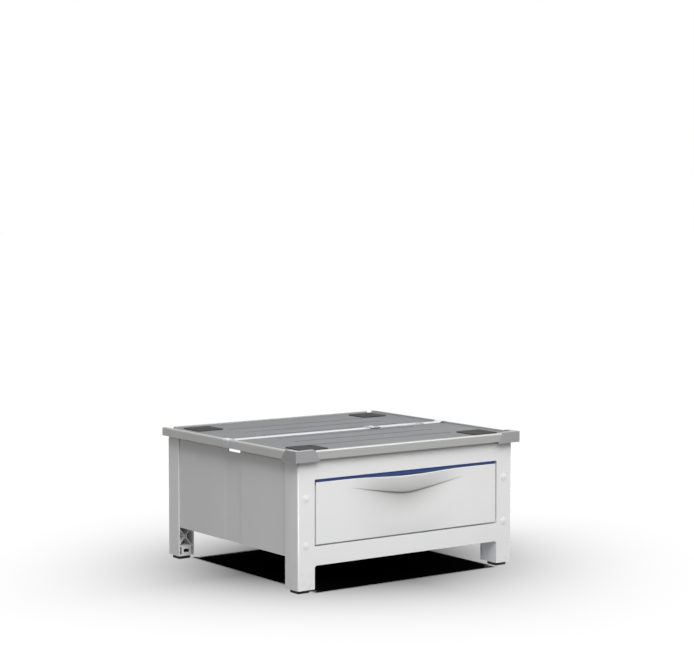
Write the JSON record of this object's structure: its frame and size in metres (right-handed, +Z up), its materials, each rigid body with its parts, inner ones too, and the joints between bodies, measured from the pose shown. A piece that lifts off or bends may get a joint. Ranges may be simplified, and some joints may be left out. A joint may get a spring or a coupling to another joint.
{
  "type": "washer pedestal drawer",
  "caption": "Washer pedestal with a railed tray on top, a strap, and a sculpted-front drawer that rolls out on slides.",
  "frame": {"origin": "on the floor, under the middle of the tray", "axes": "+X to the right seen from the front, +Y to the rear, +Z up"},
  "size_m": [0.616, 0.552, 0.307],
  "materials": {
    "white_abs": "moulded ABS, satin",
    "panel_plastic": "moulded polypropylene, fine matt",
    "rail_aluminium": "extruded, satin",
    "cap_plastic": "moulded ABS, matt grey",
    "zinc_steel": "zinc-plated pressed steel",
    "deck_sheet": "powder-coated sheet, dark grey",
    "black_rubber": "moulded rubber, matt",
    "slide_enamel": "white epoxy powder coat",
    "nylon": "natural nylon",
    "blue_plastic": "moulded polypropylene, satin blue",
    "webbing": "woven polyester webbing, light grey"
  },
  "bodies": {
    "base": {"front_frame": "white_abs", "rear_left_leg": "white_abs", "rear_right_leg": "white_abs", "left_front_panel": "panel_plastic", "right_front_panel": "panel_plastic", "left_rear_panel": "panel_plastic", "right_rear_panel": "panel_plastic", "rear_upper_crossbar": "panel_plastic", "rear_lower_crossbar": "panel_plastic", "front_rail": "rail_aluminium", "rear_rail": "rail_aluminium", "left_rail": "rail_aluminium", "right_rail": "rail_aluminium", "left_corner_cap": "cap_plastic", "right_corner_cap": "cap_plastic", "rear_corner_brackets": "zinc_steel", "deck_plate": "deck_sheet", "deck_ribs": "zinc_steel", "anti_slip_pads": "black_rubber", "front_left_foot": "black_rubber", "front_right_foot": "black_rubber", "rear_left_foot": "black_rubber", "rear_right_foot": "black_rubber", "frame_screws": "zinc_steel", "screw_covers": "white_abs", "panel_screws": "zinc_steel", "crossbar_screws": "zinc_steel", "tray_screws": "zinc_steel", "left_cabinet_slide": "slide_enamel", "right_cabinet_slide": "slide_enamel", "cabinet_slide_screws": "zinc_steel", "cabinet_roller_pins": "zinc_steel", "strap_webbing": "webbing", "strap_slider": "zinc_steel", "strap_end_tip": "zinc_steel"},
    "drawer": {"drawer_front": "white_abs", "drawer_liner": "blue_plastic", "drawer_tub": "blue_plastic", "left_drawer_slide": "slide_enamel", "right_drawer_slide": "slide_enamel", "drawer_slide_screws": "zinc_steel", "drawer_front_screws": "zinc_steel", "drawer_roller_pins": "zinc_steel"},
    "cabinet_roller_left": {"left_cabinet_roller": "nylon"},
    "cabinet_roller_right": {"right_cabinet_roller": "nylon"},
    "drawer_roller_left": {"left_drawer_roller": "nylon"},
    "drawer_roller_right": {"right_drawer_roller": "nylon"}
  },
  "joints": [
    {"name": "drawer_slide", "type": "slide", "parent": "base", "child": "drawer", "axis": [0, -1, 0], "range_m": [0, 0.36]},
    {"name": "cabinet_roller_left_spin", "type": "hinge", "parent": "base", "child": "cabinet_roller_left", "pos_m": [-0.2456, -0.228, 0.1263], "axis": [1, 0, 0], "range_deg": [0, 1880]},
    {"name": "cabinet_roller_right_spin", "type": "hinge", "parent": "base", "child": "cabinet_roller_right", "pos_m": [0.2456, -0.228, 0.1263], "axis": [1, 0, 0], "range_deg": [0, 1880]},
    {"name": "drawer_roller_left_spin", "type": "hinge", "parent": "drawer", "child": "drawer_roller_left", "pos_m": [-0.2434, 0.202, 0.1205], "axis": [1, 0, 0], "range_deg": [0, 1880]},
    {"name": "drawer_roller_right_spin", "type": "hinge", "parent": "drawer", "child": "drawer_roller_right", "pos_m": [0.2434, 0.202, 0.1205], "axis": [1, 0, 0], "range_deg": [0, 1880]}
  ],
  "couplings": [
    {"joint": "cabinet_roller_left_spin", "follows": "drawer_slide", "rad_per_m": 90.909},
    {"joint": "cabinet_roller_right_spin", "follows": "drawer_slide", "rad_per_m": 90.909},
    {"joint": "drawer_roller_left_spin", "follows": "drawer_slide", "rad_per_m": 90.909},
    {"joint": "drawer_roller_right_spin", "follows": "drawer_slide", "rad_per_m": 90.909}
  ]
}
